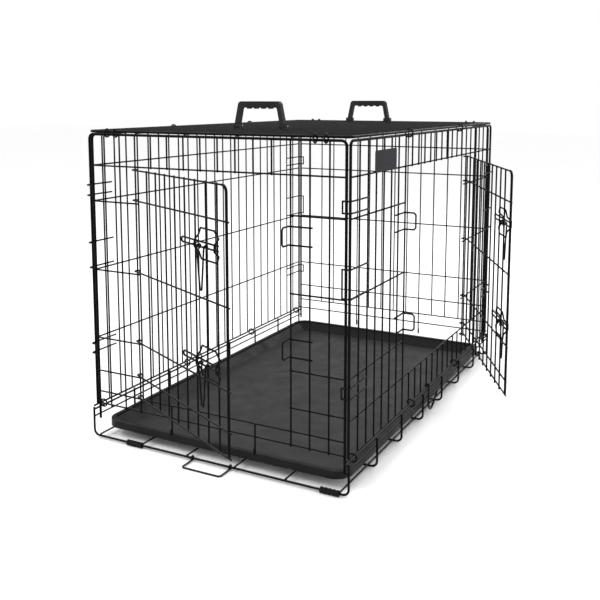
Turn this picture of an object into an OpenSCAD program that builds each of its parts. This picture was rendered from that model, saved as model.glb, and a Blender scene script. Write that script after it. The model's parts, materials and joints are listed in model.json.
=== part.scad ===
// Folding wire dog crate with two doors, a slide-out tray and two carrying handles.
// Millimetres, +Z up. The origin is on the ground under the middle of the crate.
// X runs across the crate, Y runs along it. The front end faces -Y.

/* [Crate] */
// Width between the two side panels
crate_w = 580; // [500:1:640]
// Length between the two end panels
crate_l = 910; // [800:1:1000]
// Height of the top panel's wires
crate_h = 648; // [600:1:700]
// Diameter of the rods that frame the panels
rod_d = 5.2; // [4.6:0.1:5.2]
// Diameter of the mesh wires
wire_d = 3.3; // [3:0.1:3.3]

/* [Mesh] */
// Gaps between upright wires along a side panel
side_gaps = 24; // [24:2:24]
// Distance between upright wires across an end panel
end_pitch = 38.67; // [37:0.01:39]
// Heights of the level wires that every panel has, from the top down
level_z = [576, 503, 360, 216]; // [100:1:600]
// Height of the level wire under the side door
sill_z = 138; // [133:1:142]
// Height of the short level wires beside the front door
stub_z = 145; // [142:1:146]
// Heights of the two lowest level wires of an end panel
low_z = [100, 74]; // [68:1:103]

/* [Doors] */
// How far the front door stands open
front_open = 26.2; // [0:0.5:90]
// How far the side door stands open
side_open = 27.5; // [0:0.5:90]
// Heights of the level wires that both doors share, from the top down
door_z = [571, 511, 368, 224, 153]; // [108:1:571]
// Height of the front door's bottom wire
front_door_low = 107; // [106:1:112]
// Height of the side door's bottom wire
side_door_low = 125; // [120:1:129]
// Heights of the two latches on each door
latch_z = [464, 256]; // [248:1:468]

/* [Bottom] */
// Height of the middle of the bottom panel's cross wires
base_z = 5.9; // [5.9:0.1:7]
// Distance of the end cross wires beyond the end panels
base_over = 7; // [6:0.5:8]
// Height of the middle of the side panels' lowest rods
foot_rod_z = 71; // [68:1:74]
// Length of a rubber foot
foot_l = 37; // [30:1:37]
// Outer diameter of a rubber foot
foot_d = 11.8; // [11:0.1:11.8]

/* [Tray] */
// Width of the tray over its rim
tray_w = 560; // [540:1:562]
// Length of the tray over its rim
tray_l = 892; // [880:1:894]
// Height of the tray's rim above its underside
tray_h = 24.7; // [20:0.1:24.7]
// Wall thickness of the tray
tray_t = 2.2; // [1.8:0.1:3]

/* [Handles] */
// Distance between the middles of a handle's two feet
handle_w = 108; // [100:1:116]
// Height of a handle's grip above its pivot
handle_h = 50; // [45:1:55]
// Thickness of a handle along the crate
handle_t = 13; // [11:0.5:13]

/* [Hidden] */
$fn = 48;

gap = 0.05;                       // daylight left at each weld, so every wire stays its own solid
rod_r = rod_d / 2;
wire_r = wire_d / 2;
side_x = crate_w / 2;             // plane of a side panel
end_y = crate_l / 2;              // plane of an end panel
post_u = side_x - 7;              // end panels stand just inside the side panels
side_post = end_y;
side_pitch = crate_l / side_gaps;
top_z = crate_h - rod_r;          // middle of the top panel's outline rod
head_z = top_z - rod_d - 1.1;     // middle of the rods under it
corner_r = 10;                    // bend of the panels' rods
up_n = rod_r - wire_r;            // upright wires lie flush with the rods' outer face
lev_n = up_n - wire_d - gap;      // level wires lie behind them
butt = rod_r + gap;               // where a wire stops short of a rod's middle

// Doorways: the upright wires that edge them
front_edge = 4.5 * end_pitch;
side_hinge_u = 6 * side_pitch;    // behind the middle
side_free_u = -5 * side_pitch;

// Doors, in door space: hinge wire at the origin, the door along +Y, outward +X
lap = 8;                          // how far a door reaches past the doorway's far edge
front_door_w = 2 * front_edge + lap;
side_door_w = side_hinge_u - side_free_u + lap;
door_n = 5.2;                     // the door's rods in front of its hinge wire
door_up_n = door_n - wire_d - gap;
door_rod_d = 5;
latch_d = 3.5;                    // bolts and keepers
bolt_n = 9.8;                     // bolts in front of the hinge wire
bolt_gap = 9;                     // between the two prongs of a bolt
eye_r = latch_d / 2 + wire_r + 0.35;

// Bottom panel
base_y = end_y + base_over;
base_d = 4.4;
leg_x = side_x + 4.25;
leg_bend = 12;
base_pitch = 2 * base_y / 7;
foot_rod_d = 4;
edge_z = foot_rod_z - 8;          // middle of the bottom panel's edge rods
rail_low_z = 48;                  // the level wire under each edge rod
rail_d = 3.5;
rod_over = 4;                     // how far the lowest rods pass the last legs
rail_x = [55.5, 166.5, 277.5];
rail_z = base_z + base_d / 2 + rail_d / 2 + gap;
tray_z = rail_z + rail_d / 2 + 0.5;

// Handles
handle_y = [-7 * side_pitch, 8 * side_pitch];
pivot_z = crate_h + 7;
pin_d = 4;

powder = [0.09, 0.09, 0.1];
zinc = [0.2, 0.2, 0.21];
plastic = [0.12, 0.12, 0.13];
rubber = [0.05, 0.05, 0.05];

// ---- Wire -------------------------------------------------------------------------------

// A straight wire from p to q
module bar(p, q, d) {
    v = q - p;
    l = norm(v);
    translate(p) rotate([0, acos(v[2] / l), atan2(v[1], v[0])]) cylinder(h = l, d = d);
}

// A bent wire through a list of points; the ball in each knee is a hair larger than the wire
module chain(points, d, closed = false) {
    n = len(points);
    union() {
        for (i = [0:n - (closed ? 1 : 2)]) bar(points[i], points[(i + 1) % n], d);
        for (i = [(closed ? 0 : 1):n - (closed ? 1 : 2)]) translate(points[i]) sphere(d = 1.02 * d);
    }
}

// A quarter bend about centre c, from direction a to direction b
module elbow(c, a, b, r, d) {
    n = cross(a, b);
    multmatrix([
        [a[0], b[0], n[0], c[0]],
        [a[1], b[1], n[1], c[1]],
        [a[2], b[2], n[2], c[2]],
        [0, 0, 0, 1],
    ]) rotate_extrude(angle = 90) translate([r, 0]) circle(d = d);
}

// A ring of wire about the X axis
module ring(r, d) {
    rotate([0, 90, 0]) rotate_extrude() translate([r, 0]) circle(d = d);
}

// ---- Panel space: x outward, y along the panel, z up ---------------------------------------

module on_right() { translate([side_x, 0, 0]) children(); }
module on_left() { mirror([1, 0, 0]) on_right() children(); }
module on_front() { translate([0, -end_y, 0]) rotate([0, 0, -90]) children(); }
module on_back() { translate([0, end_y, 0]) rotate([0, 0, 90]) children(); }

// Two posts and the head rod between them, with bent corners
module frame_rods(half, foot) {
    for (s = [-1, 1]) {
        bar([0, s * half, foot], [0, s * half, head_z - corner_r - gap], rod_d);
        elbow([0, s * (half - corner_r), head_z - corner_r], [0, s, 0], [0, 0, 1], corner_r, rod_d);
    }
    bar([0, -half + corner_r + gap, head_z], [0, half - corner_r - gap, head_z], rod_d);
}

module upright(y, low, high) { bar([up_n, y, low], [up_n, y, high], wire_d); }
module level(z, from, to) { bar([lev_n, from, z], [lev_n, to, z], wire_d); }

// Upright wires at the places ys, from low to high
module uprights(ys, low, high) { for (y = ys) upright(y, low, high); }

over = 2;                         // a wire's end stands this far past the wire it is welded to

// ---- End panels ----------------------------------------------------------------------------

end_half = [for (i = [0:6]) (i + 0.5) * end_pitch];
end_ys = [for (s = [-1, 1], y = end_half) s * y];
end_foot = 42;                    // lowest point of the posts and the tray stops
stop_y = end_half[2];

module end_frame() {
    frame_rods(post_u, end_foot);
    for (z = low_z) level(z, -post_u + butt, post_u - butt);
    for (s = [-1, 1]) chain([
        [up_n, s * stop_y, low_z[0] + over],
        [up_n, s * stop_y, end_foot],
        [up_n + 3.6, s * stop_y, end_foot],
        [up_n + 3.6, s * stop_y, end_foot + 12],
    ], wire_d);
}

module front_panel() color(powder) on_front() {
    end_frame();
    level(level_z[0], -post_u + butt, post_u - butt);
    for (z = [level_z[1], level_z[2], level_z[3], stub_z], s = [-1, 1])
        level(z, s * (front_edge - wire_r - over), s * (post_u - butt));
    uprights([for (y = end_ys) if (abs(y) > front_edge - 1) y], low_z[1] - over, head_z - butt);
    uprights([for (y = end_ys) if (abs(y) < front_edge - 1) y], level_z[0] - over, head_z - butt);
}

module back_panel() color(powder) on_back() {
    end_frame();
    for (z = concat(level_z, [stub_z])) level(z, -post_u + butt, post_u - butt);
    uprights([for (y = end_ys) if (abs(abs(y) - stop_y) > 1) y], low_z[0] - over, head_z - butt);
    uprights([-stop_y, stop_y], low_z[0] + over + gap, head_z - butt);
}

// ---- Side panels ---------------------------------------------------------------------------

side_ys = [for (i = [-side_gaps / 2 + 1:side_gaps / 2 - 1]) i * side_pitch];
side_low = foot_rod_z + foot_rod_d / 2 + gap;

module side_frame() {
    frame_rods(side_post, side_low);
    bar([0, -base_y - rod_over, foot_rod_z], [0, base_y + rod_over, foot_rod_z], foot_rod_d);
    level(level_z[0], -side_post + butt, side_post - butt);
}

module left_side_panel() color(powder) on_left() {
    side_frame();
    for (z = [level_z[1], level_z[2], level_z[3]]) level(z, -side_post + butt, side_post - butt);
    uprights(side_ys, side_low, head_z - butt);
}

module right_side_panel() color(powder) on_right() {
    side_frame();
    level(sill_z, -side_post + butt, side_post - butt);
    for (z = [level_z[1], level_z[2], level_z[3]]) {
        level(z, -side_post + butt, side_free_u + wire_r + over);
        level(z, side_hinge_u - wire_r - over, side_post - butt);
    }
    doorway = [for (y = side_ys) if (y > side_free_u + 1 && y < side_hinge_u - 1) y];
    uprights([for (y = side_ys) if (y < side_free_u + 1 || y > side_hinge_u - 1) y],
        side_low, head_z - butt);
    uprights(doorway, side_low, sill_z + over);
    uprights(doorway, level_z[0] - over, head_z - butt);
}

// ---- Top panel -----------------------------------------------------------------------------

top_bend = 12;

module top_panel() color(powder) {
    for (s = [-1, 1]) {
        bar([-side_x + top_bend + gap, s * end_y, top_z],
            [side_x - top_bend - gap, s * end_y, top_z], rod_d);
        bar([s * side_x, -end_y + top_bend + gap, top_z],
            [s * side_x, end_y - top_bend - gap, top_z], rod_d);
        for (t = [-1, 1])
            elbow([s * (side_x - top_bend), t * (end_y - top_bend), top_z],
                [s, 0, 0], [0, t, 0], top_bend, rod_d);
    }
    for (y = [for (i = [-11:11]) i * side_pitch])
        bar([-side_x + butt, y, top_z + up_n], [side_x - butt, y, top_z + up_n], wire_d);
    for (x = [-4.5, -1.5, 1.5, 4.5] * end_pitch)
        bar([x, -end_y + butt, top_z + lev_n], [x, end_y - butt, top_z + lev_n], wire_d);
}

// Rings that hold two stacked rods together and let one turn
clip_r = 7.8;
clip_z = (top_z + head_z) / 2;

module end_clips() {
    for (x = [-6.3, -5.75, 5.75, 6.3] * end_pitch)
        translate([x, 0, clip_z]) ring(clip_r, wire_d);
}
module front_top_clips() color(zinc) translate([0, -end_y, 0]) end_clips();
module back_top_clips() color(zinc) translate([0, end_y, 0]) end_clips();
module side_top_clips() color(zinc)
    for (s = [-1, 1], y = [-4.5, 4.5] * side_pitch)
        translate([s * side_x, y, clip_z]) rotate([0, 0, 90]) ring(clip_r, wire_d);

// ---- Corner clips: wire loops on the side panels that reach round the end panels' posts ------

clip_spans = [[184, 204], [365, 417], [515, 536]];
clip_n = rod_r + wire_r + gap;

module corner_clip(low, high) {
    root = side_post - 1.8 * side_pitch;
    nose = end_y + 8;
    chain([
        [clip_n, root, low], [clip_n, nose - 3, low], [clip_n - 3, nose, low], [-11, nose, low],
        [-11, nose, high], [clip_n - 3, nose, high], [clip_n, nose - 3, high], [clip_n, root, high],
    ], wire_d);
}

module corner_clips(end) {
    for (span = clip_spans) {
        on_right() scale([1, end, 1]) corner_clip(span[0], span[1]);
        on_left() scale([1, end, 1]) corner_clip(span[0], span[1]);
    }
}
module front_corner_clips() color(zinc) corner_clips(-1);
module back_corner_clips() color(zinc) corner_clips(1);

// ---- Keepers: wire loops that stand out through a closed door, for the bolts ------------------

keeper_h = 34;
keeper_out = 22;

// u is the doorway's far edge, and away points from the doorway onto the panel
module keeper(u, away, z) {
    n = up_n - wire_r - latch_d / 2 - gap;
    near = u - away * 6;
    far = u + away * 42;
    chain([
        [n, far, z - keeper_h / 2], [n, near, z - keeper_h / 2],
        [keeper_out - 4, near, z - keeper_h / 2], [keeper_out, near, z - keeper_h / 2 + 4],
        [keeper_out, near, z + keeper_h / 2 - 4], [keeper_out - 4, near, z + keeper_h / 2],
        [n, near, z + keeper_h / 2], [n, far, z + keeper_h / 2],
    ], latch_d);
}
module front_keepers() color(zinc) on_front() for (z = latch_z) keeper(front_edge, 1, z + 2);
module side_keepers() color(zinc) on_right() for (z = latch_z) keeper(side_free_u, -1, z + 2);

// ---- Doors, in door space --------------------------------------------------------------------

module in_front_door() {
    on_front() translate([up_n, -front_edge, 0]) rotate([0, 0, -front_open]) children();
}
module in_side_door() {
    on_right() translate([up_n, side_hinge_u, 0]) mirror([0, 1, 0])
        rotate([0, 0, -side_open]) children();
}

door_bend = 12;
nearest = 36;                     // from the free rod to the first upright wire

module door(w, low) {
    top = door_z[0];
    d = door_rod_d;
    bar([door_n, gap, top], [door_n, w - door_bend - gap, top], wire_d);
    elbow([door_n, w - door_bend, top - door_bend], [0, 1, 0], [0, 0, 1], door_bend, d);
    bar([door_n, w, low + wire_r + gap], [door_n, w, top - door_bend - gap], d);
    for (z = [for (i = [1:4]) door_z[i]]) {
        bar([door_n, gap, z], [door_n, w - d / 2 - gap, z], wire_d);
        bar([door_n, w + d / 2 + gap, z], [door_n, w + d / 2 + 4, z], wire_d);
    }
    bar([door_n, gap, low], [door_n, w + d / 2 + 4, low], wire_d);
    for (t = [nearest:38:w - 9])
        bar([door_up_n, w - t, low - over], [door_up_n, w - t, top + over], wire_d);
}

// The curled ends of the door's level wires, round the hinge wire
module hinge_loops(low) {
    for (z = concat(door_z, [low]))
        translate([0, 0, z]) rotate([0, 0, -255])
            rotate_extrude(angle = 255) translate([door_n, 0]) circle(d = wire_d);
}

// A wire loop welded to the door, humped where the bolt passes under it
module latch_guide(w, z) {
    b = door_up_n + wire_d + gap;
    h = bolt_n + latch_d / 2 + wire_r + 0.45;
    far = w - 94;
    near = w - 26;
    chain([
        [b, far + 7, z + 27], [b, near - 14, z + 27], [b, near, z + 15], [h, near, z + 6],
        [h, near, z - 6], [b, near, z - 15], [b, near - 6, z - 27], [b, far + 9, z - 27],
        [b, far, z - 15], [h, far, z - 6], [h, far, z + 6], [b, far, z + 15],
    ], wire_d, closed = true);
}

module bolt(w, z) {
    tail = w - 143;
    for (s = [-1, 1])
        bar([bolt_n, tail, z + s * bolt_gap / 2], [bolt_n, w - 20, z + s * bolt_gap / 2], latch_d);
    for (s = [-1, 1])
        elbow([bolt_n, tail - gap, z], [0, 0, s], [0, -1, 0], bolt_gap / 2, latch_d);
}

// The finger lever that hangs from the bolt's lower prong, in two open eyes
module lever(w, z) {
    mid = w - 74;
    tip_r = 3.6;
    tip_z = -71;
    translate([bolt_n, mid, z - bolt_gap / 2]) {
        for (s = [-1, 1]) {
            translate([0, s * 12, 0]) rotate([90, 0, 0])
                rotate_extrude(angle = 250) translate([eye_r, 0]) circle(d = wire_d);
            bar([eye_r, s * 12, -0.3], [eye_r, s * tip_r, tip_z + 0.3], wire_d);
        }
        translate([eye_r, 0, tip_z]) rotate([0, 90, 0]) rotate([0, 0, -90])
            rotate_extrude(angle = 180) translate([tip_r, 0]) circle(d = wire_d);
    }
}

module front_door() color(powder) in_front_door() door(front_door_w, front_door_low);
module front_hinge_loops() color(powder) in_front_door() hinge_loops(front_door_low);
module front_latch_guides() color(zinc) in_front_door()
    for (z = latch_z) latch_guide(front_door_w, z);
module front_upper_bolt() color(zinc) in_front_door() bolt(front_door_w, latch_z[0]);
module front_lower_bolt() color(zinc) in_front_door() bolt(front_door_w, latch_z[1]);
module front_upper_lever() color(zinc) in_front_door() lever(front_door_w, latch_z[0]);
module front_lower_lever() color(zinc) in_front_door() lever(front_door_w, latch_z[1]);
module side_door() color(powder) in_side_door() door(side_door_w, side_door_low);
module side_hinge_loops() color(powder) in_side_door() hinge_loops(side_door_low);
module side_latch_guides() color(zinc) in_side_door()
    for (z = latch_z) latch_guide(side_door_w, z);
module side_upper_bolt() color(zinc) in_side_door() bolt(side_door_w, latch_z[0]);
module side_lower_bolt() color(zinc) in_side_door() bolt(side_door_w, latch_z[1]);
module side_upper_lever() color(zinc) in_side_door() lever(side_door_w, latch_z[0]);
module side_lower_lever() color(zinc) in_side_door() lever(side_door_w, latch_z[1]);

// ---- Bottom panel ------------------------------------------------------------------------------

base_ys = [for (i = [0:7]) -base_y + i * base_pitch];

module bottom_panel() color(powder) {
    for (y = base_ys) {
        bar([-leg_x + leg_bend + gap, y, base_z], [leg_x - leg_bend - gap, y, base_z], base_d);
        for (s = [-1, 1]) {
            elbow([s * (leg_x - leg_bend), y, base_z + leg_bend], [0, 0, -1], [s, 0, 0],
                leg_bend, base_d);
            bar([s * leg_x, y, base_z + leg_bend + gap], [s * leg_x, y, edge_z + over], base_d);
        }
    }
    for (x = rail_x, s = [-1, 1])
        bar([s * x, -base_y - over, rail_z], [s * x, base_y + over, rail_z], rail_d);
    inside = leg_x - base_d / 2 - wire_r - gap;
    for (s = [-1, 1]) {
        bar([s * side_x, -base_y - rod_over, edge_z], [s * side_x, base_y + rod_over, edge_z],
            foot_rod_d);
        bar([s * inside, -base_y - over, rail_low_z], [s * inside, base_y + over, rail_low_z], wire_d);
    }
}

// Rings that hold the side panels' lowest rods to the bottom panel's edge rods
module bottom_hinge_rings() color(powder)
    for (s = [-1, 1], y = [-11.5, -3.5, 4.5, 11.5] * side_pitch)
        translate([s * side_x, y, (foot_rod_z + edge_z) / 2]) rotate([0, 0, 90]) ring(clip_r, wire_d);

// ---- Feet: ribbed sleeves on the end cross wires -----------------------------------------------

module foot(x, y) {
    color(rubber) translate([x, y, base_z]) rotate([0, 90, 0]) difference() {
        union() {
            cylinder(h = foot_l, d = foot_d - 1.6);
            for (i = [0:4]) translate([0, 0, i * (foot_l - 4) / 4]) cylinder(h = 4, d = foot_d);
        }
        translate([0, 0, -1]) cylinder(h = foot_l + 2, d = base_d + 0.1);
    }
}
foot_left_x = -rail_x[1] - rail_d / 2 - 0.6 - foot_l;
foot_right_x = rail_x[2] - rail_d / 2 - 0.6 - foot_l;
module foot_front_left() foot(foot_left_x, -base_y);
module foot_front_right() foot(foot_right_x, -base_y);
module foot_back_left() foot(foot_left_x, base_y);
module foot_back_right() foot(foot_right_x, base_y);

// ---- Tray: a shallow pan with sloping walls and a rolled rim -----------------------------------

tray_corner = 33;
rim_w = 9;
rim_drop = 15;
slope_in = 20;                    // how far the floor stands in from the inside of the rim

module tray_outline(inset) {
    $fn = 32;
    r = tray_corner - inset;
    hull() for (x = [-1, 1], y = [-1, 1])
        translate([x * (tray_w / 2 - inset - r), y * (tray_l / 2 - inset - r)]) circle(r = r);
}

module tray_pan(inset, low) {
    hull() {
        translate([0, 0, tray_h - 2 * tray_t]) linear_extrude(2 * tray_t + low) tray_outline(inset);
        translate([0, 0, low]) linear_extrude(0.5) tray_outline(inset + slope_in);
    }
}

module tray() color(plastic) translate([0, 0, tray_z]) {
    difference() {
        tray_pan(rim_w - tray_t, 0);
        tray_pan(rim_w, tray_t);
    }
    translate([0, 0, tray_h - tray_t]) linear_extrude(tray_t) difference() {
        tray_outline(0);
        tray_outline(rim_w - tray_t / 2);
    }
    translate([0, 0, tray_h - rim_drop]) linear_extrude(rim_drop - tray_t / 2) difference() {
        tray_outline(0);
        tray_outline(tray_t);
    }
}

// A wire bail on the front cross wire, laid down flat; raised, it stands in front of the tray
latch_half = 44;
bail_r = base_d / 2 + wire_r + 0.15;

module tray_latch() color(zinc) translate([0, -base_y, base_z]) {
    for (s = [-1, 1]) translate([s * latch_half, 0, 0]) ring(bail_r, wire_d);
    reach = 36.5;
    z = -bail_r;
    chain([
        [-latch_half, -4.2, z], [-latch_half, -reach + 4, z], [-latch_half + 4, -reach, z],
        [latch_half - 4, -reach, z], [latch_half, -reach + 4, z], [latch_half, -4.2, z],
    ], wire_d);
}

// ---- Handles ------------------------------------------------------------------------------------

grip_half = handle_w / 2 - 9;     // half width of the handle at the top
grip_t = 13;                      // thickness of the grip, seen from the front
barrel_r = 5;                     // the leg's end, round its pin
ear_in = 5.8;                     // from the middle of a leg to the ear beside it
ear_t = 4;

module handle_shape() {
    difference() {
        hull() {
            for (s = [-1, 1]) translate([s * (grip_half - 3), handle_h - 8]) circle(r = 8);
            for (s = [-1, 1]) translate([s * handle_w / 2, 0]) circle(r = barrel_r);
        }
        hull() {
            for (s = [-1, 1]) translate([s * (grip_half - 6), handle_h - grip_t - 4]) circle(r = 4);
            for (s = [-1, 1], z = [-12, barrel_r])
                translate([s * (handle_w / 2 - ear_in - 3.7), z]) circle(r = 4);
        }
    }
    for (i = [-1.5, -0.5, 0.5, 1.5]) translate([i * 17, handle_h - grip_t + 1.5]) circle(r = 4);
}

module handle(y) color(plastic) translate([0, y, pivot_z]) difference() {
    rotate([90, 0, 0]) translate([0, 0, -handle_t / 2]) linear_extrude(handle_t) handle_shape();
    rotate([0, 90, 0]) translate([0, 0, -handle_w]) cylinder(h = 2 * handle_w, d = pin_d + 0.12);
    // each leg is thinned to a barrel about its pin
    for (s = [-1, 1]) translate([s * handle_w / 2 - 10, 0, 0]) difference() {
        translate([0, -handle_t, -2 * barrel_r]) cube([20, 2 * handle_t, 3 * barrel_r + 0.2]);
        translate([-1, 0, 0]) rotate([0, 90, 0]) cylinder(h = 22, r = barrel_r);
        translate([-1, -barrel_r, 0]) cube([22, 2 * barrel_r, 2 * barrel_r]);
    }
}

// Saddle that snaps over the top panel's cross wire, with two ears about the handle's leg
module handle_clip(side) translate([side * handle_w / 2, 0, 0]) difference() {
    base = crate_h + gap;
    union() {
        translate([-ear_in - ear_t, -barrel_r, base]) cube([2 * (ear_in + ear_t), 2 * barrel_r, 1.6]);
        for (s = [-1, 1]) translate([s * (ear_in + ear_t / 2), 0, 0]) {
            translate([-ear_t / 2, -barrel_r, base]) cube([ear_t, 2 * barrel_r, pivot_z - base]);
            translate([-ear_t / 2, 0, pivot_z]) rotate([0, 90, 0]) cylinder(h = ear_t, r = barrel_r);
        }
        // the jaws stop short of the long wire that passes under the outer ear
        for (t = [-1, 1]) translate([-side * 4, t * 2.9, base - 1.4]) cube([11, 2.2, 3], center = true);
    }
    translate([-20, 0, pivot_z]) rotate([0, 90, 0]) cylinder(h = 40, d = pin_d + 0.06);
}
module handle_clips(y) color(plastic) translate([0, y, 0])
    for (s = [-1, 1]) handle_clip(s);
module handle_pins(y) color(zinc) translate([0, y, pivot_z])
    for (s = [-1, 1]) translate([s * handle_w / 2 - 11, 0, 0]) rotate([0, 90, 0])
        cylinder(h = 22, d = pin_d);

module front_handle() handle(handle_y[0]);
module rear_handle() handle(handle_y[1]);
module front_handle_clips() handle_clips(handle_y[0]);
module rear_handle_clips() handle_clips(handle_y[1]);
module front_handle_pins() handle_pins(handle_y[0]);
module rear_handle_pins() handle_pins(handle_y[1]);

// ---- Small pieces on the right side panel --------------------------------------------------------

plate_y = [-353, -247];
plate_z = [576.5, 617];

module name_plate() color(plastic) on_right() translate([rod_r + gap, 0, 0])
    rotate([90, 0, 90]) linear_extrude(1.2)
        translate([plate_y[0], plate_z[0]]) {
            r = 4;
            w = plate_y[1] - plate_y[0];
            h = plate_z[1] - plate_z[0];
            hull() for (x = [r, w - r], y = [r, h - r]) translate([x, y]) circle(r = r);
        }

// A hook of doubled wire hung on the side panel's lowest rod, which holds the folded crate shut
hook_side = 4.2;                  // between the hook's two wires
hook_r = 18;                      // bend at its bottom, midway between the wires
hook_drop = 38;
hook_turn = 125;                  // how far the bend goes round
hook_arm = 38;

module fold_hook() color(zinc)
    on_right() translate([0, 8 - side_pitch, foot_rod_z]) {
        eye = foot_rod_d / 2 + wire_r + 0.35;
        for (s = [0, 1]) {
            r = hook_r + hook_side * (0.5 - s);
            translate([0, s * hook_side, 0]) rotate([90, 0, 0])
                rotate_extrude(angle = 250) translate([eye, 0]) circle(d = wire_d);
            bar([eye, s * hook_side, -0.1], [eye, s * hook_side, -hook_drop], wire_d);
            translate([eye, hook_r + hook_side / 2, -hook_drop - gap]) rotate([90, 0, 90]) {
                rotate([0, 0, 180]) rotate_extrude(angle = hook_turn) translate([r, 0]) circle(d = wire_d);
                rotate([0, 0, 180 + hook_turn])
                    bar([r, gap, 0], [r, hook_arm, 0], wire_d);
            }
        }
        translate([eye, hook_r + hook_side / 2, -hook_drop - gap]) rotate([90, 0, 90])
            rotate([0, 0, 180 + hook_turn]) translate([hook_r, hook_arm + gap, 0])
                rotate_extrude(angle = 180) translate([hook_side / 2, 0]) circle(d = wire_d);
    }

bottom_panel();
bottom_hinge_rings();
front_panel();
back_panel();
left_side_panel();
right_side_panel();
top_panel();
front_top_clips();
back_top_clips();
side_top_clips();
front_corner_clips();
back_corner_clips();
front_keepers();
side_keepers();
front_door();
front_hinge_loops();
front_latch_guides();
front_upper_bolt();
front_lower_bolt();
front_upper_lever();
front_lower_lever();
side_door();
side_hinge_loops();
side_latch_guides();
side_upper_bolt();
side_lower_bolt();
side_upper_lever();
side_lower_lever();
tray();
tray_latch();
front_handle();
rear_handle();
front_handle_clips();
rear_handle_clips();
front_handle_pins();
rear_handle_pins();
foot_front_left();
foot_front_right();
foot_back_left();
foot_back_right();
name_plate();
fold_hook();
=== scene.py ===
import bmesh
import bpy
import json
import math
import numpy as np
from mathutils import Matrix, Vector


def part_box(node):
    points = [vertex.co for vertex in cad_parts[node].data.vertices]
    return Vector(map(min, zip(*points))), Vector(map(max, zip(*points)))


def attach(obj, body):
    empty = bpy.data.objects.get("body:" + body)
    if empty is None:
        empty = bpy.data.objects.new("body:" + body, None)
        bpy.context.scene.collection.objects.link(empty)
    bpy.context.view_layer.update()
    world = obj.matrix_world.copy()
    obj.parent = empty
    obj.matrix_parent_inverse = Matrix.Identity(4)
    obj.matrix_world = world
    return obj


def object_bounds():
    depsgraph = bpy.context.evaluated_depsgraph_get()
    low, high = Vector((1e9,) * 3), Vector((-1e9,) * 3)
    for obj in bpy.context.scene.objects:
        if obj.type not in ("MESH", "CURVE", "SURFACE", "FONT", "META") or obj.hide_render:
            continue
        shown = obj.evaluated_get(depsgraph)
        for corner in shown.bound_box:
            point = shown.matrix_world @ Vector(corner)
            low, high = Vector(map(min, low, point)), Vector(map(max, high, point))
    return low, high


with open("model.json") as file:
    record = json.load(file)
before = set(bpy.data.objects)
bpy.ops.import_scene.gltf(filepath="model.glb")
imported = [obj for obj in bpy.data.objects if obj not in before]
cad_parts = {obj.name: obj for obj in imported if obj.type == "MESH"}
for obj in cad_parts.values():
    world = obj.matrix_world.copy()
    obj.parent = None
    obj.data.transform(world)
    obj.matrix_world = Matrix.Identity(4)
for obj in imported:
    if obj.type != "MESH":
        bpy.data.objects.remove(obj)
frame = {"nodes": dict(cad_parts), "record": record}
cad_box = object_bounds()
MM = 0.001


# ---- Camera: a long lens a little above the crate's middle, off the front right corner ---------

YAW = math.radians(27.76)
PITCH = math.radians(7.2)             # downward
EYE = Vector((862, -1727, 710)) * MM
SENSOR_MM = 36
LENS_MM = 49.1
SHIFT = -0.163                        # puts the crate high in the frame, as a share of its width


def add_camera():
    data = bpy.data.cameras.new("camera")
    data.sensor_width = SENSOR_MM
    data.lens = LENS_MM
    data.shift_y = SHIFT
    cam = bpy.data.objects.new("camera", data)
    bpy.context.scene.collection.objects.link(cam)
    cam.location = EYE
    cam.rotation_euler = (math.radians(90) - PITCH, 0, YAW)
    bpy.context.scene.camera = cam


# ---- Light: a bright, even studio with one soft key light over the left shoulder ---------------

def add_area_light(name, place, target, size, watts):
    """A round soft light of the given diameter; places are in metres."""
    data = bpy.data.lights.new(name, "AREA")
    data.shape = "DISK"
    data.size = size
    data.energy = watts
    lamp = bpy.data.objects.new(name, data)
    bpy.context.scene.collection.objects.link(lamp)
    lamp.location = place
    lamp.rotation_euler = (Vector(target) - Vector(place)).to_track_quat("-Z", "Y").to_euler()


def add_lights():
    add_area_light("key", (-1.6, -2.2, 2.6), (0, 0, 0.3), 1.6, 55)
    add_area_light("fill", (2.6, -1.4, 1.6), (0, 0, 0.3), 2.2, 28)
    add_area_light("rim", (0.6, 2.6, 2.2), (0, 0, 0.4), 1.6, 30)
    world = bpy.data.worlds.new("world")
    world.use_nodes = True
    background = world.node_tree.nodes["Background"]
    background.inputs["Color"].default_value = (1, 1, 1, 1)
    background.inputs["Strength"].default_value = 1.0
    bpy.context.scene.world = world
    bpy.context.scene.view_settings.view_transform = "Standard"


# ---- Materials ---------------------------------------------------------------------------------

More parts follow.
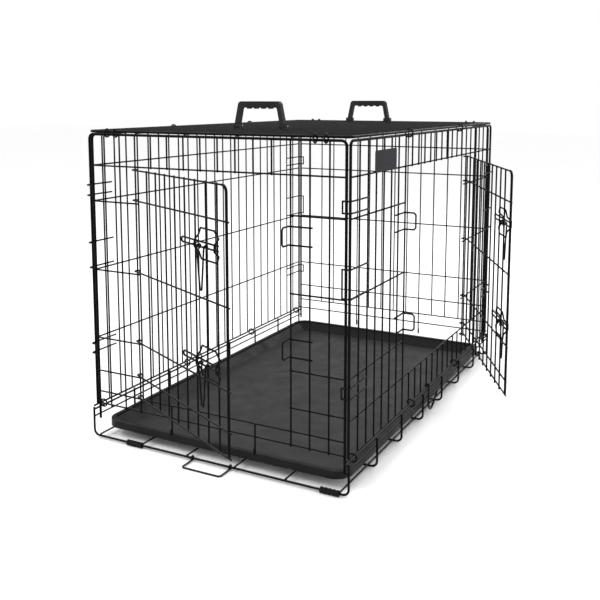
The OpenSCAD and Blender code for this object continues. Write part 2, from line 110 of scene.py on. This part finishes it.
class Shader:
    """A material with a Principled shader, and short ways to feed it."""

    def __init__(self, name, specular=0.5, metallic=0.0):
        self.material = bpy.data.materials.new(name)
        self.material.use_nodes = True
        self.nodes = self.material.node_tree.nodes
        self.links = self.material.node_tree.links
        self.main = self.nodes["Principled BSDF"]
        self.main.inputs["Metallic"].default_value = metallic
        self.main.inputs["Specular IOR Level"].default_value = specular
        self.place = self.nodes.new("ShaderNodeTexCoord").outputs["Object"]

    def node(self, kind, **values):
        node = self.nodes.new(kind)
        for key, value in values.items():
            setattr(node, key, value)
        return node

    def noise(self, grain_mm, detail=3.0, rough=0.5):
        """Noise whose features are about grain_mm across."""
        noise = self.node("ShaderNodeTexNoise")
        noise.inputs["Scale"].default_value = 1 / (grain_mm * MM)
        noise.inputs["Detail"].default_value = detail
        noise.inputs["Roughness"].default_value = rough
        self.links.new(self.place, noise.inputs["Vector"])
        return noise.outputs["Fac"]

    def ramp(self, fac, low, high, from_low=0.3, from_high=0.7):
        """fac between from_low and from_high becomes a number between low and high."""
        ramp = self.node("ShaderNodeMapRange")
        for name, value in (("From Min", from_low), ("From Max", from_high),
                            ("To Min", low), ("To Max", high)):
            ramp.inputs[name].default_value = value
        self.links.new(fac, ramp.inputs["Value"])
        return ramp.outputs["Result"]

    def mix(self, fac, a, b):
        """Colour a where fac is 0, and b where it is 1."""
        mix = self.node("ShaderNodeMix", data_type="RGBA")
        self.links.new(fac, mix.inputs["Factor"])
        for name, value in (("A", a), ("B", b)):
            socket = [s for s in mix.inputs if s.name == name and s.type == "RGBA"][0]
            if isinstance(value, tuple):
                socket.default_value = (*value, 1)
            else:
                self.links.new(value, socket)
        return [s for s in mix.outputs if s.type == "RGBA"][0]

    def times(self, a, factor):
        product = self.node("ShaderNodeMath", operation="MULTIPLY")
        self.links.new(a, product.inputs[0])
        product.inputs[1].default_value = factor
        return product.outputs["Value"]

    def feed(self, name, value):
        """Give a Principled input a number, a colour or another node's output."""
        socket = self.main.inputs[name]
        if isinstance(value, float):
            socket.default_value = value
        elif isinstance(value, tuple):
            socket.default_value = (*value, 1)
        else:
            self.links.new(value, socket)

    def color(self, value):
        self.feed("Base Color", value)

    def roughness(self, value):
        self.feed("Roughness", value)

    def larger(self, a, b):
        node = self.node("ShaderNodeMath", operation="MAXIMUM")
        self.links.new(a, node.inputs[0])
        self.links.new(b, node.inputs[1])
        return node.outputs["Value"]

    def facing_up(self, low, high):
        """0 to 1 as the surface turns from a slope of low to one of high, its normal's Z."""
        normal = self.node("ShaderNodeSeparateXYZ")
        geometry = self.node("ShaderNodeNewGeometry")
        self.links.new(geometry.outputs["Normal"], normal.inputs["Vector"])
        return self.ramp(normal.outputs["Z"], 0.0, 1.0, low, high)

    def bump(self, height, depth_mm, strength=0.6, after=None):
        bump = self.node("ShaderNodeBump")
        bump.inputs["Strength"].default_value = strength
        bump.inputs["Distance"].default_value = depth_mm * MM
        self.links.new(height, bump.inputs["Height"])
        if after is not None:
            self.links.new(after, bump.inputs["Normal"])
        self.links.new(bump.outputs["Normal"], self.main.inputs["Normal"])
        return bump.outputs["Normal"]

    def edge_wear(self):
        """1 on outer edges that hands and other parts rub, 0 on flats."""
        pointiness = self.node("ShaderNodeNewGeometry").outputs["Pointiness"]
        return self.ramp(pointiness, 0.0, 1.0, 0.54, 0.62)


def powder_coat():
    """Black powder coat: orange peel, a painted highlight on top faces, dull and bright patches."""
    s = Shader("powder_coat", specular=0.03)
    patch = s.noise(60, 2.0)
    speck = s.noise(0.9, 2.0, 0.7)
    paint = s.mix(s.ramp(speck, 0.0, 0.5, 0.45, 0.8),
                  (0.0025, 0.0025, 0.003), (0.008, 0.008, 0.009))
    # top faces painted lighter: a painted highlight standing in for the light's sheen along the
    # level wires' tops
    s.color(s.mix(s.facing_up(0.55, 1.0), paint, (0.05, 0.05, 0.052)))
    s.roughness(s.ramp(patch, 0.34, 0.52))
    peel = s.bump(s.noise(1.6, 2.0), 0.08, 0.5)
    s.bump(speck, 0.03, 0.4, after=peel)
    return s.material


def latch_coat():
    """Thin black coat over steel, rubbed to bare metal in small streaks."""
    s = Shader("latch_coat", specular=0.05)
    rub = s.ramp(s.noise(3.5, 4.0, 0.65), 0.0, 1.0, 0.64, 0.74)
    s.color(s.mix(rub, (0.0035, 0.0035, 0.004), (0.05, 0.05, 0.053)))
    s.feed("Metallic", s.times(rub, 0.7))
    s.roughness(s.ramp(s.noise(18, 3.0), 0.25, 0.42))
    s.bump(s.noise(1.1, 2.0), 0.04, 0.4)
    return s.material


def pin_steel():
    """Zinc-plated steel with turning marks."""
    s = Shader("pin_steel", metallic=1.0)
    s.color((0.42, 0.42, 0.43))
    s.roughness(s.ramp(s.noise(0.6, 3.0), 0.22, 0.42))
    s.bump(s.noise(0.4, 2.0), 0.02, 0.4)
    return s.material


def handle_plastic():
    """Black moulded plastic with a fine grain, paler where hands polish its edges."""
    s = Shader("handle_plastic", specular=0.08)
    s.color(s.mix(s.edge_wear(), (0.005, 0.005, 0.0055), (0.018, 0.018, 0.019)))
    s.roughness(s.ramp(s.noise(22, 3.0), 0.42, 0.6))
    grain = s.bump(s.noise(0.7, 2.0, 0.6), 0.06, 0.6)
    s.bump(s.noise(14, 1.0), 0.25, 0.2, after=grain)
    return s.material


def tray_plastic():
    """Dark grey sheet: a leathery, scuffed floor, slopes painted darker as painted shade, and a
    near-black rim and skirt.
    """
    s = Shader("tray_plastic", specular=0.12)
    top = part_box("tray")[1][2]
    place = s.node("ShaderNodeSeparateXYZ")
    s.links.new(s.place, place.inputs["Vector"])
    on_top = s.ramp(place.outputs["Z"], 0.0, 1.0, top - 1.0 * MM, top - 0.2 * MM)
    # how far the surface faces away from the tray's middle: the skirt does, the slopes face inward
    facing = s.node("ShaderNodeVectorMath", operation="DOT_PRODUCT")
    s.links.new(s.place, facing.inputs[0])
    s.links.new(s.node("ShaderNodeNewGeometry").outputs["Normal"], facing.inputs[1])
    outside = s.ramp(facing.outputs["Value"], 0.0, 1.0, 0.12, 0.16)
    # inward-facing slopes painted darker: painted shade, not the sheet's own colour
    painted_slope_shade = s.ramp(facing.outputs["Value"], 0.75, 0.0, -0.12, -0.04)
    dark = s.larger(s.larger(on_top, outside), painted_slope_shade)
    mottled = s.mix(s.ramp(s.noise(90, 3.0), 0.0, 1.0),
                    (0.018, 0.018, 0.019), (0.025, 0.025, 0.026))
    speck = s.mix(s.ramp(s.noise(2.2, 2.0, 0.7), 0.0, 0.6, 0.45, 0.75),
                  mottled, (0.042, 0.042, 0.043))
    scuff = s.ramp(s.noise(7, 5.0, 0.75), 0.0, 0.5, 0.62, 0.8)
    floor = s.mix(scuff, speck, (0.05, 0.05, 0.051))
    # near-black rim and skirt are the tray's own colour; the darkening on the slopes is painted
    # shade
    s.color(s.mix(dark, floor, (0.006, 0.006, 0.0065)))
    s.roughness(s.ramp(s.noise(40, 4.0), 0.42, 0.62))
    grain = s.bump(s.noise(1.8, 3.0, 0.6), 0.12, 0.5)
    s.bump(s.noise(70, 1.0), 0.8, 0.15, after=grain)
    return s.material


def plate_plastic():
    """Blank dark plate with a fine brushed face."""
    s = Shader("plate_plastic", specular=0.06)
    streak = s.node("ShaderNodeMapping")
    streak.inputs["Scale"].default_value = (1, 0.05, 1)
    s.links.new(s.place, streak.inputs["Vector"])
    s.place = streak.outputs["Vector"]
    fine = s.noise(0.5, 3.0)
    s.color(s.mix(s.ramp(fine, 0.0, 1.0), (0.009, 0.0095, 0.011), (0.014, 0.0145, 0.017)))
    s.roughness(s.ramp(fine, 0.32, 0.48))
    s.bump(fine, 0.03, 0.4)
    return s.material


def foot_rubber():
    """Matt rubber with paler dusty patches."""
    s = Shader("foot_rubber", specular=0.08)
    dust = s.ramp(s.noise(5, 4.0, 0.7), 0.0, 0.6, 0.5, 0.75)
    s.color(s.mix(dust, (0.007, 0.007, 0.007), (0.030, 0.029, 0.027)))
    s.roughness(s.ramp(s.noise(3, 2.0), 0.62, 0.85))
    s.bump(s.noise(0.8, 3.0), 0.08, 0.6)
    return s.material


MATERIALS = {
    "black_wire": powder_coat, "latch_wire": latch_coat, "pin_steel": pin_steel,
    "handle_plastic": handle_plastic, "tray_plastic": tray_plastic,
    "plate_plastic": plate_plastic, "foot_rubber": foot_rubber,
}


def cad_object(node):
    return frame["nodes"][node]


def paint_cad_nodes(made):
    """Give every CAD node the material of its slot in the record."""
    for part in frame["record"]["subparts"]:
        node = cad_object(part["node"])
        for slot in node.material_slots:
            slot.material = made[part["material_slot"]]
        if not node.material_slots:
            node.data.materials.append(made[part["material_slot"]])


# ---- Weld beads: every place where two of the frame's straight wires touch ---------------------

SHORTEST = 9 * MM          # a straight run shorter than this is part of a bend
NEAR = 5 * MM              # lines of one wire's surface lie this close to each other
WELD_GAP = 0.25 * MM       # wires this close are welded
LINES_ROUND = 8            # a straight wire's mesh has at least this many lines along it
# A bead's length, width and height over the thinner wire's radius, and how far two of them vary
BEAD_LENGTH, BEAD_WIDTH, BEAD_HEIGHT = 1.12, 1.0, 0.62
WIDTH_SWING, HEIGHT_SWING, HEIGHT_STEP = 0.12, 0.1, 1.7


def straight_runs(obj):
    """The (start, end, radius) of each straight wire in a node, from its mesh's long edges."""
    points = np.empty(len(obj.data.vertices) * 3)
    obj.data.vertices.foreach_get("co", points)
    points = points.reshape(-1, 3)
    edges = np.empty(len(obj.data.edges) * 2, dtype=int)
    obj.data.edges.foreach_get("vertices", edges)
    edges = edges.reshape(-1, 2)
    starts, ends = points[edges[:, 0]], points[edges[:, 1]]
    along = ends - starts
    length = np.linalg.norm(along, axis=1)
    long = length > SHORTEST
    starts, ends, along = starts[long], ends[long], along[long] / length[long][:, None]
    side = np.abs(along).argmax(axis=1)
    turn = along[np.arange(len(along)), side] < 0
    starts[turn], ends[turn] = ends[turn].copy(), starts[turn].copy()
    runs = []
    left = np.ones(len(starts), dtype=bool)
    while left.any():
        first = int(np.flatnonzero(left)[0])
        same = left & (np.linalg.norm(starts - starts[first], axis=1) < NEAR)
        same &= np.linalg.norm(ends - ends[first], axis=1) < NEAR
        left &= ~same
        if same.sum() < LINES_ROUND:
            continue
        a = (starts[same].min(axis=0) + starts[same].max(axis=0)) / 2
        b = (ends[same].min(axis=0) + ends[same].max(axis=0)) / 2
        runs.append((a, b, float(np.linalg.norm(starts[same] - a, axis=1).mean())))
    return runs


def closest(p, q, r, s):
    """The closest points of the segments p-q and r-s."""
    d1, d2, w = q - p, s - r, p - r
    a, e, f = d1 @ d1, d2 @ d2, d2 @ w
    c, b = d1 @ w, d1 @ d2
    spread = a * e - b * b
    t = np.clip((b * f - c * e) / spread, 0, 1) if spread > 1e-12 * a * e else 0.5
    u = np.clip((b * t + f) / e, 0, 1)
    t = np.clip((b * u - c) / a, 0, 1)
    return p + d1 * t, r + d2 * u


def weld_points(runs):
    """(place, direction between the wires, radius) for each pair of wires that touch."""
    welds = []
    for i, (p, q, thick) in enumerate(runs):
        for r, s, other in runs[i + 1:]:
            low = np.maximum(np.minimum(p, q), np.minimum(r, s)) - 2 * NEAR
            high = np.minimum(np.maximum(p, q), np.maximum(r, s)) + 2 * NEAR
            if (low > high).any():
                continue
            a, b = closest(p, q, r, s)
            apart = np.linalg.norm(b - a)
            crossing = abs(apart - thick - other) < WELD_GAP
            butting = min(abs(apart - thick), abs(apart - other)) < WELD_GAP
            if not (crossing or butting) or apart < 1e-6:
                continue
            toward = (b - a) / apart
            welds.append((a + toward * (thick if apart >= thick else apart / 2), toward,
                          min(thick, other)))
    return welds


def bead(mesh, place, toward, size, seed):
    """One squashed, slightly lopsided bead of molten wire."""
    height = BEAD_HEIGHT + HEIGHT_SWING * math.sin(seed * HEIGHT_STEP)
    width = BEAD_WIDTH + WIDTH_SWING * math.sin(seed)
    turn = Vector(toward).to_track_quat("Z", "Y").to_matrix().to_4x4()
    shape = Matrix.Diagonal((size * BEAD_LENGTH, size * width, size * height, 1))
    bmesh.ops.create_icosphere(
        mesh, subdivisions=2, radius=1, matrix=Matrix.Translation(Vector(place)) @ turn @ shape)


def add_welds(name, body, nodes, material):
    """One piece that holds the weld beads of some nodes and rides on their body."""
    runs = [run for node in nodes for run in straight_runs(cad_object(node))]
    welds = weld_points(runs)
    if not welds:
        return
    mesh = bmesh.new()
    for seed, (place, toward, size) in enumerate(welds):
        bead(mesh, place, toward, size, seed)
    data = bpy.data.meshes.new(name)
    mesh.to_mesh(data)
    mesh.free()
    for face in data.polygons:
        face.use_smooth = True
    data.materials.append(material)
    piece = bpy.data.objects.new(name, data)
    bpy.context.scene.collection.objects.link(piece)
    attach(piece, body)
    print(name, len(welds), "welds")


def add_all_welds(made):
    for name in ("bottom_panel", "front_panel", "left_side_panel", "right_side_panel", "top_panel"):
        add_welds(name + "_welds", "cage", [name], made["black_wire"])
    add_welds("back_panel_welds", "back_panel", ["back_panel"], made["black_wire"])
    for end in ("front", "side"):
        door = end + "_door"
        add_welds(door + "_welds", door, [door, end + "_latch_guides"],
                  made["black_wire"])


# ---- Floor -------------------------------------------------------------------------------------

FLOOR_SIZE = 30            # metres
FLOOR_DROP = 0.5 * MM      # the floor lies this far under the crate


def add_floor():
    """A pale floor that fades into the bright world far behind the crate."""
    bpy.ops.mesh.primitive_plane_add(size=FLOOR_SIZE, location=(0, 0, cad_box[0][2] - FLOOR_DROP))
    floor = bpy.context.object
    floor.name = "floor"
    s = Shader("floor", specular=0.08)
    s.roughness(0.75)
    s.color(s.mix(s.ramp(s.noise(300, 2.0), 0.0, 1.0), (0.975, 0.975, 0.975), (0.99, 0.99, 0.99)))
    floor.data.materials.append(s.material)


def main():
    made = {slot: make() for slot, make in MATERIALS.items()}
    add_camera()
    add_lights()
    paint_cad_nodes(made)
    add_all_welds(made)
    add_floor()


main()
